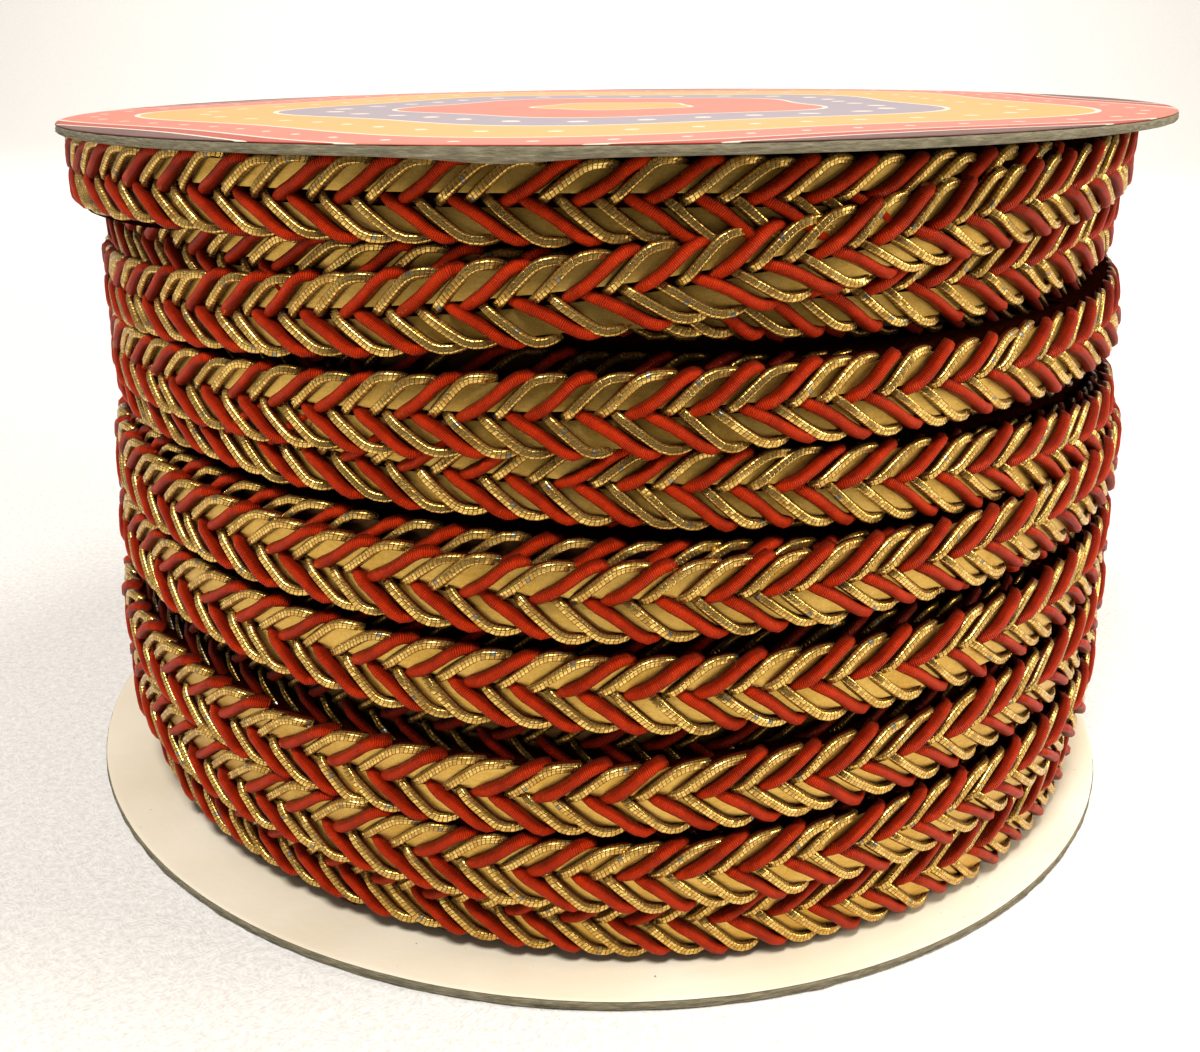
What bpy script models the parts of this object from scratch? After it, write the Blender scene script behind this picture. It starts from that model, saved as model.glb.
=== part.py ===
"""Braid trim wound on a card spool that stands on end.

Metres, +Z up. The origin is the centre of the lower disc's underside, -Y is the front.
One flat braid is wound lap over lap between two card discs. It climbs from the lower disc,
and its last turns run across the ones below them, up to the tilted upper disc.
Turn is the angle round the spool: 0 at the front, positive towards +X, in degrees.
"""

import math

import bmesh
import bpy
import numpy as np
from mathutils import Euler, Vector

MM = 0.001

# Spool
DISC_RADIUS = 65.0 * MM
BOARD = 1.05 * MM
BOARD_EDGE = 0.18 * MM
DISC_SIDES = 96
UPPER_HEIGHT = 77.7 * MM  # from the lower disc's underside to the upper disc's, at its centre
UPPER_SHIFT = (0.2 * MM, 0.7 * MM)
UPPER_TILT_SIDE = 0.0303  # radians, the right side higher
UPPER_TILT_BACK = 0.0023  # radians, the back higher
GAP = 0.3 * MM

# Braid
BRAID_WIDTH = 7.8 * MM
GROOVE_DEPTH = 0.5 * MM
GROOVE_HALF_WIDTH = 1.7 * MM
RIDGE_HEIGHT = 2.2 * MM  # fall from the crown to the edge of a lap
RIDGE_POWER = 3.5
LAP_BLEND = 0.22 * MM
UNDER_PITCH = 8.3 * MM
UNDER_FIRST = -1.9 * MM  # height of the under layer's lowest lap at the front
UNDER_LAPS = 11
# Top of the layer below against the outer reach: height of a lap, and its level there.
UNDER_LEVELS = (
    (32.0 * MM, -2.3 * MM),
    (40.0 * MM, -1.2 * MM),
    (48.0 * MM, -2.3 * MM),
)

# Heights in the tables are in millimetres above the lower disc's top face.
# Each lap of the strip, in the order in which it was wound. The first eight columns are
# the height of its centre line at each turn of TURNS, and the last three are how far it
# stands proud of the pack at each turn of PROUD_TURNS.
TURNS = (-180, -120, -60, -30, 0, 30, 60, 120)
PROUD_TURNS = (-60, 0, 60)
LAPS = (
    # -180  -120   -60   -30     0    30    60   120   proud: -60    0    60
    (6.3, 6.5, 6.2, 5.8, 4.8, 4.5, 4.9, 6.4, -1.8, -1.3, -1.2),
    (9.3, 11.0, 12.2, 11.6, 10.7, 12.0, 13.7, 15.6, 0.0, 0.2, 0.1),
    (17.3, 18.8, 19.8, 18.6, 18.8, 20.7, 23.0, 25.2, 0.0, 0.0, 0.0),
    (27.7, 29.9, 31.6, 30.0, 29.2, 29.7, 31.3, 33.3, 0.0, 0.0, 0.0),
    (35.4, 37.6, 39.5, 38.5, 38.1, 39.7, 41.1, 43.2, 0.2, 0.3, 0.2),
    (46.0, 48.0, 49.3, 48.8, 48.2, 47.3, 46.2, 47.6, -0.4, -0.8, -0.6),
    (49.6, 50.9, 52.0, 52.9, 54.7, 56.1, 57.4, 60.5, 0.1, 0.2, 0.1),
    (64.8, 68.8, 71.3, 71.9, 72.7, 73.0, 74.0, 73.0, 2.8, 0.4, -0.8),
    (71.0, 68.6, 66.3, 65.1, 64.8, 65.0, 67.2, 66.2, -0.5, -0.7, -0.4),
    (63.6, 61.0, 59.4, 61.2, 65.2, 70.6, 74.0, 74.2, 0.2, 0.9, 0.6),
)
END_TURN = 165  # where the last lap's end is tucked under, on the back
END_HEIGHT = 73.8
TUCK_TURNS = 25
TUCK_DEPTH = 3.6

# The pack's outer reach at each height: height, sideways shift of its centre, radius.
REACH = (
    (0.0, 1.2, 61.6),
    (22.0, 1.0, 62.2),
    (44.0, 1.3, 61.5),
    (55.0, 0.6, 60.8),
    (64.0, -0.2, 60.1),
    (78.0, -0.4, 60.6),
)

# Wound form's grid
SIDES = 80
ROWS = 64


def clear_scene():
    for old in list(bpy.data.objects):
        bpy.data.objects.remove(old, do_unlink=True)


def material(name, colour, roughness, metallic=0.0):
    made = bpy.data.materials.new(name)
    made.use_nodes = True
    shader = made.node_tree.nodes["Principled BSDF"]
    shader.inputs["Base Color"].default_value = (*colour, 1.0)
    shader.inputs["Roughness"].default_value = roughness
    shader.inputs["Metallic"].default_value = metallic
    return made


def add_object(name, shape, finish, smooth_angle):
    mesh = bpy.data.meshes.new(name)
    bmesh.ops.recalc_face_normals(shape, faces=shape.faces)
    shape.to_mesh(mesh)
    shape.free()
    mesh.materials.append(finish)
    mesh.shade_smooth()
    mesh.set_sharp_from_angle(angle=math.radians(smooth_angle))
    made = bpy.data.objects.new(name, mesh)
    bpy.context.scene.collection.objects.link(made)
    return made


def smooth_curve(places, values):
    """A curve through the values that keeps its slope from one stretch to the next."""
    places = np.asarray(places, float)
    values = np.asarray(values, float)
    slopes = np.gradient(values, places)

    def at(place):
        place = np.clip(place, places[0], places[-1])
        i = np.clip(np.searchsorted(places, place, side="right") - 1, 0, len(places) - 2)
        span = places[i + 1] - places[i]
        t = (place - places[i]) / span
        start = (1 + 2 * t) * (1 - t) ** 2 * values[i] + t * (1 - t) ** 2 * span * slopes[i]
        finish = t * t * (3 - 2 * t) * values[i + 1] - t * t * (1 - t) * span * slopes[i + 1]
        return start + finish

    return at


def strip_curves():
    """Height and proudness of the strip along its whole turn, in millimetres."""
    turns = []
    heights = []
    proud_turns = []
    proud = []
    for lap, row in enumerate(LAPS):
        turns += [360 * lap + turn for turn in TURNS]
        heights += row[: len(TURNS)]
        proud_turns += [360 * lap + turn for turn in PROUD_TURNS]
        proud += row[len(TURNS):]
    last = 360 * (len(LAPS) - 1)
    turns.append(last + END_TURN)
    heights.append(END_HEIGHT)
    proud_turns += [last + END_TURN - TUCK_TURNS, last + END_TURN]
    proud += [proud[-1], proud[-1] - TUCK_DEPTH]

    def proud_curve(turn):
        return np.interp(turn, proud_turns, proud)

    return smooth_curve(turns, heights), proud_curve


def lap_section(across):
    """Surface of a lap below its own crown, at a distance from its centre line."""
    side = np.abs(across)
    groove = 0.5 * GROOVE_DEPTH * (1 + np.cos(np.pi * np.minimum(side / GROOVE_HALF_WIDTH, 1)))
    ridge = RIDGE_HEIGHT * (side / (0.5 * BRAID_WIDTH)) ** RIDGE_POWER
    return -groove - ridge


def under_height(lap, turn):
    """Centre line of the layer below, an even winding that falls one pitch each turn."""
    return UNDER_FIRST + UNDER_PITCH * (lap - turn / 360)


def under_level(height):
    """How far the top of the layer below stands from the outer reach."""
    heights, levels = zip(*UNDER_LEVELS)
    return np.interp(height, heights, levels)


def proud_at(turn, height, curves):
    """How far the pack's surface stands from its outer reach, at a turn and a height."""
    strip_height, strip_proud = curves
    levels = []
    for lap in range(UNDER_LAPS):
        centre = under_height(lap, turn)
        levels.append(under_level(centre) + lap_section(height - centre))
    for lap in range(len(LAPS)):
        place = 360 * lap + turn
        across = height - strip_height(place) * MM
        levels.append(strip_proud(place) * MM + lap_section(across))
    return LAP_BLEND * np.log(np.sum(np.exp(np.array(levels) / LAP_BLEND), axis=0))


def upper_underside(x, y):
    """Height of the upper disc's lower face above the origin."""
    rise_side = math.tan(UPPER_TILT_SIDE) * (x - UPPER_SHIFT[0])
    rise_back = math.tan(UPPER_TILT_BACK) * (y - UPPER_SHIFT[1])
    return UPPER_HEIGHT + rise_side + rise_back


def add_disc(name, finish):
    """A card disc with its underside on z = 0, its cut edge a little rounded."""
    shape = bmesh.new()
    profile = (
        (DISC_RADIUS - BOARD_EDGE, 0.0),
        (DISC_RADIUS, BOARD_EDGE),
        (DISC_RADIUS, BOARD - BOARD_EDGE),
        (DISC_RADIUS - BOARD_EDGE, BOARD),
    )
    rings = []
    for radius, height in profile:
        ring = []
        for side in range(DISC_SIDES):
            angle = 2 * math.pi * side / DISC_SIDES
            ring.append(shape.verts.new((radius * math.cos(angle), radius * math.sin(angle), height)))
        rings.append(ring)
    join_rings(shape, rings)
    cap_ring(shape, rings[0], Vector((0, 0, 0)))
    cap_ring(shape, rings[-1], Vector((0, 0, BOARD)))
    return add_object(name, shape, finish, 30)


def join_rings(shape, rings):
    for lower, upper in zip(rings, rings[1:]):
        for side in range(len(lower)):
            after = (side + 1) % len(lower)
            shape.faces.new((lower[side], lower[after], upper[after], upper[side]))


def cap_ring(shape, ring, centre):
    middle = shape.verts.new(centre)
    for side in range(len(ring)):
        shape.faces.new((ring[side], ring[(side + 1) % len(ring)], middle))


def add_wound_braid(finish):
    """The wound form: rows of points up each turn, drawn in and out by the laps."""
    curves = strip_curves()
    reach = np.array(REACH) * MM
    foot = BOARD + GAP
    columns = []
    for side in range(SIDES):
        turn = 360 * side / SIDES - 180
        angle = math.radians(turn)
        out = np.array((math.sin(angle), -math.cos(angle)))
        top = upper_underside(*(out * reach[-1, 2])) - GAP
        heights = np.linspace(foot, top, ROWS + 1)
        above = heights - BOARD
        radius = np.interp(above, reach[:, 0], reach[:, 2]) + proud_at(turn, above, curves)
        x = np.interp(above, reach[:, 0], reach[:, 1]) + radius * out[0]
        y = radius * out[1]
        heights[-1] = upper_underside(x[-1], y[-1]) - GAP
        columns.append(np.stack((x, y, heights), axis=1))
    shape = bmesh.new()
    rings = []
    for row in range(ROWS + 1):
        rings.append([shape.verts.new(column[row]) for column in columns])
    join_rings(shape, rings)
    cap_ring(shape, rings[0], Vector((0, 0, foot)))
    cap_ring(shape, rings[-1], Vector((0, 0, upper_underside(0, 0) - GAP)))
    return add_object("wound_braid", shape, finish, 50)


def main():
    clear_scene()
    card = material("grey_card", (0.36, 0.33, 0.27), 0.9)
    printed = material("printed_card", (0.85, 0.45, 0.30), 0.3)
    gimp = material("red_gold_gimp", (0.45, 0.13, 0.05), 0.5)

    add_disc("lower_disc", card)
    upper = add_disc("upper_disc", printed)
    upper.rotation_euler = Euler((UPPER_TILT_BACK, -UPPER_TILT_SIDE, 0))
    upper.location = (*UPPER_SHIFT, UPPER_HEIGHT)
    add_wound_braid(gimp)


main()
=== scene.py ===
"""The look of a braid trim wound on a card spool.

One flat braid is wound between two card discs: two foil tapes side by side, with red
silk cords and gold foil cords plaited round them. Metres, +Z up, -Y is the front.
Turn is the angle round the spool: 0 at the front, positive towards +X, in degrees.
"""

import math

import bpy
import numpy as np
from mathutils import Euler, Matrix


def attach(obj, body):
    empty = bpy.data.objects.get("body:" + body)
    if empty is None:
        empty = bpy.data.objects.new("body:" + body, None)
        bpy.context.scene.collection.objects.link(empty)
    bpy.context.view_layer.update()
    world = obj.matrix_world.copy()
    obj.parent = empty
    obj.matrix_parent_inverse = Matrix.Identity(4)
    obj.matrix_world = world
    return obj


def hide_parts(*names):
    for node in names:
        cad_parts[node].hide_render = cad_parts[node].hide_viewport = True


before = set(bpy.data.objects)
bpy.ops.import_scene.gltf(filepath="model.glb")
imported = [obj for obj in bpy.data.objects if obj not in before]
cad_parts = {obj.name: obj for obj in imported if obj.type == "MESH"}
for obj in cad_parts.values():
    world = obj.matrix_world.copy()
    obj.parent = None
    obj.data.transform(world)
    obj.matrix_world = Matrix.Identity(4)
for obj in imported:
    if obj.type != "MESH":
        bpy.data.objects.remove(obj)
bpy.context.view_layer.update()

MM = 0.001
BODY = "root"
rng = np.random.default_rng(7)

# Spool, as in the part's source
DISC_RADIUS = 65.0 * MM
BOARD = 1.05 * MM
UPPER_HEIGHT = 77.7 * MM
UPPER_SHIFT = (0.2 * MM, 0.7 * MM)
UPPER_TILT_SIDE = 0.0303
UPPER_TILT_BACK = 0.0023

# Disc outlines in millimetres: in from the rim, height, fray of the rim, wave of the level
DISC_SIDES = 480
CARD_PROFILE = (
    (25.0, 0.0, 0.0, 0.0), (3.0, 0.0, 0.0, 0.0), (0.45, 0.0, 0.04, 0.01), (0.15, 0.08, 0.06, 0.02),
    (0.05, 0.22, 0.07, 0.02), (0.14, 0.3, 0.05, 0.02), (0.04, 0.45, 0.07, 0.02), (0.1, 0.6, 0.06, 0.02),
    (0.06, 0.78, 0.06, 0.02), (0.2, 0.9, 0.03, 0.01), (3.0, 0.91, 0.0, 0.0), (25.0, 0.91, 0.0, 0.0),
)
PAPER_PROFILE = (
    (25.0, 0.93, 0.0, 0.0), (3.0, 0.93, 0.0, 0.0), (0.22, 0.93, 0.02, 0.01), (0.12, 0.98, 0.02, 0.01),
    (0.2, 1.03, 0.02, 0.01), (0.6, 1.05, 0.0, 0.004), (3.0, 1.05, 0.0, 0.0), (25.0, 1.05, 0.0, 0.0),
)
FRAY_WAVES = (5, 120)  # fewest and most waves round the rim
LEVEL_WAVES = (2, 60)
DENT_TURN = -8.0  # the split in the upper board's lower edge, in degrees
DENT_WIDTH = 5.0
DENT_DEPTH = 0.5  # and in millimetres
DENT_HEIGHT = 0.5  # it fades to nothing at this height above the board's underside
DENT_INSET = 3.5  # how far in from the rim it starts
DENT_REACH = 3.0  # and how far out from there it is at its full depth

# The layer below, as in the part's source, in millimetres
UNDER_PITCH = 8.3
UNDER_FIRST = -1.9
UNDER_LAPS = 11
UNDER_LOWEST = 3.9
UNDER_HIGHEST = 70.8
UNDER_LEVELS = (
    (32.0, -2.3),
    (40.0, -1.2),
    (48.0, -2.3),
)
# painted shade: deeper than this, the layer below is drawn with darker copies of its finishes
UNDER_SHADED = -1.9  # where the layer below lies deeper than this it is in shade
UNDER_FIRST_LAP = -3.3  # its first lap, flat on the disc, lies below the rest of it

# The strip's route, as in the part's source, in millimetres above the lower disc's face
TURNS = (-180, -120, -60, -30, 0, 30, 60, 120)
PROUD_TURNS = (-60, 0, 60)
LAPS = (
    # -180  -120   -60   -30     0    30    60   120   proud: -60    0    60
    (6.3, 6.5, 6.2, 5.8, 4.8, 4.5, 4.9, 6.4, -1.8, -1.3, -1.2),
    (9.3, 11.0, 12.2, 11.6, 10.7, 12.0, 13.7, 15.6, 0.0, 0.2, 0.1),
    (17.3, 18.8, 19.8, 18.6, 18.8, 20.7, 23.0, 25.2, 0.0, 0.0, 0.0),
    (27.7, 29.9, 31.6, 30.0, 29.2, 29.7, 31.3, 33.3, 0.0, 0.0, 0.0),
    (35.4, 37.6, 39.5, 38.5, 38.1, 39.7, 41.1, 43.2, 0.2, 0.3, 0.2),
    (46.0, 48.0, 49.3, 48.8, 48.2, 47.3, 46.2, 47.6, -0.4, -0.8, -0.6),
    (49.6, 50.9, 52.0, 52.9, 54.7, 56.1, 57.4, 60.5, 0.1, 0.2, 0.1),
    (64.8, 68.8, 71.3, 71.9, 72.7, 73.0, 74.0, 73.0, 2.8, 0.4, -0.8),
    (71.0, 68.6, 66.3, 65.1, 64.8, 65.0, 67.2, 66.2, -0.5, -0.7, -0.4),
    (63.6, 61.0, 59.4, 61.2, 65.2, 70.6, 74.0, 74.2, 0.2, 0.9, 0.6),
)
END_TURN = 165
END_HEIGHT = 73.8
TUCK_TURNS = 25
TUCK_DEPTH = 3.6
START_TUCK = 3.4  # how much deeper the strip starts, under the laps that follow
STRIP_START = -180.0
STRIP_END = 360.0 * (len(LAPS) - 1) + END_TURN
REACH = (
    (0.0, 1.2, 61.6),
    (22.0, 1.0, 62.2),
    (44.0, 1.3, 61.5),
    (55.0, 0.6, 60.8),
    (64.0, -0.2, 60.1),
    (78.0, -0.4, 60.6),
)

# Braid
STRAND_TURN = 2.74  # degrees between neighbouring strands of one half
UPPER_HALF = "RGRGRGG"  # red and gold along the upper half, again and again
LOWER_SHIFT = 4  # the lower half's colours run this many strands ahead
LOWER_LEAD = 0.5  # and its strands lie this share of a strand later
REPEATS_AFTER = 10  # repeats of the colours after the last pair in the table
# Where the second gold strand of each pair leaves the groove at the front, lap by lap
GOLD_PAIRS = (
    (7.3, 26.5),
    (-19.5, -1.3, 17.2, 36.0),
    (-33.9, -14.1, 5.4, 24.4),
    (-25.2, -6.7, 13.1, 33.1),
    (-34.6, -15.3, 5.4, 22.8),
    (-7.1, 11.3, 31.1),
    (-38.8, -20.5, -1.0, 17.5, 36.9),
    (-29.9, -10.4, 9.1, 27.2),
    (-44.3, -24.4, -4.9, 14.6, 34.5),
    (-24.8, -5.6, 14.6, 33.2),
)
FOIL_PITCH = 0.41
SILK_PITCH = 0.17
RED_RADIUS = 0.51
GOLD_RADIUS = 0.41
GOLD_SPIN = 0.3  # radians by which a gold cord's section is turned at most
FACE_DROP = 0.6  # from the lap's crown down to the strands' bed
CORD_POINTS = 12  # rings along a cord
UNDER_POINTS = 8
CORD_TIP = 0.5  # how far its end closes past the last ring, as a share of its radius
UNDER_SIDES = 6
CORD_RUN = 400.0  # millimetres of wraps in which each cord has a start of its own
PIECE_SPLIT = 360.0 * 4.5  # turn at which the outer layer is parted into two pieces
LAST_STRAND = 3.0  # degrees from the last strand to the strip's end

# How far one cord differs from the next: shares of its size, and millimetres
UNEVEN_LENGTH = 0.05
UNEVEN_PLACE = 0.10
UNEVEN_WIDTH = 0.03
UNEVEN_LEVEL = 0.05
UNEVEN_RADIUS = 0.04

# A cord's section, sideways and up, as shares of its radius. Each has a wide dark foot under it,
# dark thread and painted shadow both, and a gold one has two cores side by side under one foil.
RED_SECTION = (
    (0.92, 0.38), (0.38, 0.92), (-0.38, 0.92), (-0.92, 0.38),
    (-1.2, -1.12), (-0.5, -1.2), (0.5, -1.2), (1.2, -1.12),
)
RED_FOOT = 0.6875  # the foot's middle, as a share of the way round
GOLD_SECTION = (
    (1.0, 0.0), (0.86, 0.42), (0.48, 0.62), (0.0, 0.4), (-0.48, 0.62),
    (-0.86, 0.42), (-1.0, 0.0), (-1.22, -1.15), (0.0, -1.25), (1.22, -1.15),
)
GOLD_FOOT = 0.8
SEAM_PLACE = 0.3  # share of the way round the section where its two cores meet
WORN_ABOVE = 0.985  # foil facets whose chance is higher have lost their gold

# A strand's visible path: along the strip, out from the groove, above the tapes' face
RED_PATH = (
    (-0.95, -0.55, -1.00),
    (-0.30, -0.05, -0.25),
    (0.60, 0.40, 0.34),
    (1.60, 0.98, 0.46),
    (2.80, 1.85, 0.46),
    (3.90, 2.72, 0.42),
    (4.80, 3.20, 0.20),
    (5.50, 3.22, -0.30),
    (6.05, 2.95, -0.95),
)
GOLD_PATH = (
    (-0.75, -0.45, -0.95),
    (-0.22, -0.04, -0.22),
    (0.42, 0.42, 0.28),
    (1.40, 1.28, 0.36),
    (2.50, 2.18, 0.36),
    (3.45, 2.90, 0.34),
    (4.40, 3.22, 0.22),
    (5.50, 3.20, -0.06),
    (6.50, 2.92, -0.75),
)

# A tape's section: out from the groove, above the strands' bed, and how far it moves where
# the slit is widest. The face runs outwards, then the back inwards.
TAPE_SECTION = (
    (0.2, -0.24, 0.4), (0.55, -0.2, 0.35), (1.6, -0.18, 0.1), (2.9, -0.2, 0.0),
    (2.9, -0.46, 0.0), (1.6, -0.46, 0.1), (0.55, -0.46, 0.35), (0.2, -0.46, 0.4),
)
SLIT_NARROW = 36.0  # height up to which the two tapes lie close together
SLIT_WIDE = 72.0
TAPE_STEP = 2.5  # degrees between its rings of points
UNDER_TAPE_STEP = 4.0
TAPE_EDGE = 35.0  # degrees from which its edges are sharp
PACK_RADIUS = 61.5  # at which the tapes' length is measured

# What a prouder lap hides
LAP_HALF = 3.0  # millimetres either side of its centre line
HIDDEN_BELOW = 0.6  # how much deeper a strand has to lie
SAME_STRETCH = 90  # degrees within which two strands belong to one lap
NOWHERE = -1e6  # a place on the strip that is far from every lap
OUTER_TESTS = (0.6, 1.6, 2.6)  # places out from the groove
UNDER_TESTS = (0.3, 1.3, 2.3, 3.3)

# The dark body behind the strands, in millimetres
BODY_SIDES = 180
BODY_ROWS = 150
BODY_DEEPEST = 2.3  # between the laps, below the layer below
BODY_BEHIND = 0.55  # below the strands' bed
BODY_FOOT = 0.35  # above the lower disc's face
BODY_TOP = 0.4  # below the upper disc
BODY_LEAN = 55.0  # height from which its rows lean with the upper disc
FOOT_HEIGHT = 1.6  # below it the body is drawn in, where a lap's edge shows its shadow
FOOT_LEVEL = -6.0

# The printed face: rings from the centre out, and the colour that each starts with
PRINT_LOBES = 5.0
PRINT_LOBE_TURN = 0.9  # radians
PRINT_LOBE_DEPTH = 0.07
PRINT_LINE = 0.008
PRINT_RINGS = (
    (0.0, (206, 146, 74)),
    (0.14, (190, 102, 84)),
    (0.36, (136, 128, 138)),
    (0.55, (208, 150, 78)),
    (0.76, (194, 104, 86)),
    (0.88, (160, 44, 34)),
    (0.93, (76, 40, 42)),
)
PRINT_DOTS = (
    # place of the row, dots in it, size of a dot, as shares of the radius
    (0.455, 30, 0.016),
    (0.655, 45, 0.011),
    (0.82, 60, 0.008),
)
PRINT_CREAM = (222, 210, 188)
PRINT_WASH = (214, 160, 130)

# Colours as seen, 0 to 255: the light and the dark of each finish
RED_SILK = ((194, 46, 9), (94, 7, 1))
# painted shade: the SHADED_ colours are darker copies of the silk, foil and tape, for the layer below
SHADED_SILK = ((118, 14, 3), (54, 4, 1))
# dark thread and painted shadow along the foot of each red cord
SILK_FOOT_THREAD_AND_SHADOW = (78, 9, 1)
SILK_SHEEN = (255, 150, 100)
SILK_SHINE = (255, 150, 90)
GOLD_FOIL = ((242, 204, 112), (172, 120, 34), (72, 18, 4))  # and the gaps between its wraps
# painted shade copy of the gold foil
SHADED_FOIL = ((144, 110, 46), (76, 48, 12), (18, 4, 1))
WORN_FOIL = (140, 138, 122)
GOLD_TAPE = ((226, 187, 100), (190, 144, 52))
# painted shade copy of the gold tape
SHADED_TAPE = ((78, 52, 18), (44, 26, 6))
# painted shade: the near-black of the body behind the strands
SHADED_THREAD = ((36, 7, 2), (8, 2, 1))
DARK_CLOTH = ((34, 28, 22), (8, 2, 1))
CREAM_PAPER = ((231, 219, 196), (219, 204, 176))
PAPER_SPECK = (150, 125, 98)
GREY_CARD = ((160, 150, 122), (126, 117, 92), (84, 77, 58))
PALE_CLOTH = ((233, 229, 223), (206, 200, 192))

# Finishes: scales are waves of noise in a metre
FIBRE_SCALE = 9000.0
SILK_DRIFT_SCALE = 1400.0
SILK_PATCH_SCALE = 500.0
SILK_RELIEF = 0.08 * MM
FOIL_RELIEF = 0.09 * MM
TAPE_PATCH_SCALE = 260.0
TAPE_RELIEF = 0.012 * MM
FUZZ_SCALE = 2500.0
FUZZ_RELIEF = 0.1 * MM
CLOTH_PITCH = 0.9 * MM
CLOTH_DRIFT_SCALES = (260.0, 350.0)
CLOTH_PATCH_SCALE = 1300.0
CLOTH_RELIEF = 0.2 * MM
CARD_SCALE = 700.0
CARD_SQUASH = 6.0  # how much finer the card's layers are than they are long
CARD_RELIEF = 0.25 * MM
PAPER_SCALE = 60.0
PAPER_GRAIN_SCALE = 900.0
PAPER_RELIEF = 0.04 * MM
SPECK_SCALE = 1800.0
SPECK_ABOVE = 0.79  # level of noise above which the paper has a speck
PRINT_WASH_SCALE = 70.0
PRINT_GRAIN_SCALE = 400.0
PRINT_RELIEF = 0.02 * MM

# Floor, backdrop and the dark card that shows in reflections only, in metres
FLOOR_LEVEL = -0.1 * MM
FLOOR_HALF = 3.0
FLOOR_BACK = 0.9  # where the floor starts to sweep up
SWEEP_RADIUS = 0.6
SWEEP_STEPS = 16
BACKDROP_TOP = 2.6
FLAG_CORNERS = ((-0.2, -0.185, 0.0), (0.2, -0.185, 0.0), (0.2, -0.215, 0.24), (-0.2, -0.215, 0.24))

# Light
WORLD_COLOUR = (1.0, 0.985, 0.96, 1.0)
WORLD_STRENGTH = 0.31
LIGHTS = (
    # name, size, place, target, power, colour
    ("key", 0.2, (-0.1, -0.42, 0.72), (0, 0, 0.03), 6.8, (1.0, 1.0, 1.0)),
    ("top", 0.45, (0.4, 0.12, 0.95), (0, 0, 0), 5.0, (1.0, 1.0, 1.0)),
    ("side", 0.3, (0.75, -0.1, 0.36), (0.04, 0, 0.03), 4.0, (1.0, 0.94, 0.82)),
    ("backdrop", 0.8, (0.0, 0.45, 0.9), (0, 1.5, 0.5), 15.0, (1.0, 1.0, 1.0)),
)

# The photo's view: pixels of a 1200 x 1052 picture, and the camera's place in metres
VIEW_WIDTH = 1200
VIEW_HEIGHT = 1052
FOCAL_PIXELS = 1300
SENSOR = 36.0
CENTRE_PIXEL = (599.5, 398.8)
CAMERA_BACK = 2.5525 * DISC_RADIUS
CAMERA_UP = 1.3011 * DISC_RADIUS + BOARD
CAMERA_PITCH = 0.2630
CAMERA_ROLL = 0.0194
CAMERA_YAW = -0.0054
NEAREST_SEEN = 0.01


def add_camera():
    cp, sp = math.cos(CAMERA_PITCH), math.sin(CAMERA_PITCH)
    cy, sy = math.cos(CAMERA_YAW), math.sin(CAMERA_YAW)
    forward = np.array((sy * cp, cy * cp, -sp))
    right = np.array((cy, -sy, 0.0))
    up = np.cross(right, forward)
    cr, sr = math.cos(CAMERA_ROLL), math.sin(CAMERA_ROLL)
    across = cr * right + sr * up
    above = -sr * right + cr * up
    data = bpy.data.cameras.new("camera")
    data.sensor_width = SENSOR
    data.sensor_fit = "HORIZONTAL"
    data.lens = FOCAL_PIXELS / VIEW_WIDTH * SENSOR
    data.shift_x = (0.5 * VIEW_WIDTH - CENTRE_PIXEL[0]) / VIEW_WIDTH
    data.shift_y = (CENTRE_PIXEL[1] - 0.5 * VIEW_HEIGHT) / VIEW_WIDTH
    data.clip_start = NEAREST_SEEN
    camera = bpy.data.objects.new("camera", data)
    turn = Matrix((across, above, -forward)).transposed().to_4x4()
    camera.matrix_world = Matrix.Translation((0, -CAMERA_BACK, CAMERA_UP)) @ turn
    bpy.context.scene.collection.objects.link(camera)
    bpy.context.scene.camera = camera


# The winding


def smooth_curve(places, values):
    """A curve through the values that keeps its slope from one stretch to the next."""
    places = np.asarray(places, float)
    values = np.asarray(values, float)
    slopes = np.gradient(values, places)

    def at(place):
        place = np.clip(place, places[0], places[-1])
        i = np.clip(np.searchsorted(places, place, side="right") - 1, 0, len(places) - 2)
        span = places[i + 1] - places[i]
        t = (place - places[i]) / span
        start = (1 + 2 * t) * (1 - t) ** 2 * values[i] + t * (1 - t) ** 2 * span * slopes[i]
        finish = t * t * (3 - 2 * t) * values[i + 1] - t * t * (1 - t) * span * slopes[i + 1]
        return start + finish

    return at


def strip_curves():
    """Height and proudness of the strip along its whole turn, in millimetres."""
    first_proud = LAPS[0][len(TURNS)]
    turns = []
    heights = []
    proud_turns = [STRIP_START, STRIP_START + TUCK_TURNS]
    proud = [first_proud - START_TUCK, first_proud]
    for lap, row in enumerate(LAPS):
        turns += [360 * lap + turn for turn in TURNS]
        heights += row[: len(TURNS)]
        proud_turns += [360 * lap + turn for turn in PROUD_TURNS]
        proud += row[len(TURNS):]
    turns.append(STRIP_END)
    heights.append(END_HEIGHT)
    proud_turns += [STRIP_END - TUCK_TURNS, STRIP_END]
    proud += [proud[-1], proud[-1] - TUCK_DEPTH]

    def proud_curve(turn):
        return np.interp(turn, proud_turns, proud)

    return smooth_curve(turns, heights), proud_curve


strip_height, strip_proud = strip_curves()
reach_table = np.array(REACH)


def strand_counter():
    """Tables of turn and strand number, in which every gold pair falls on its place."""
    repeat = len(UPPER_HALF)
    repeat_turn = repeat * STRAND_TURN
    turns = [STRIP_START - repeat_turn]
    numbers = [-1]
    for lap, pairs in enumerate(GOLD_PAIRS):
        for pair in pairs:
            turn = 360.0 * lap + pair
            repeats = max(1, round((turn - turns[-1]) / repeat_turn))
            turns.append(turn)
            numbers.append(numbers[-1] + repeat * repeats)
    turns.append(turns[-1] + REPEATS_AFTER * repeat_turn)
    numbers.append(numbers[-1] + REPEATS_AFTER * repeat)
    return turns, numbers


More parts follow.
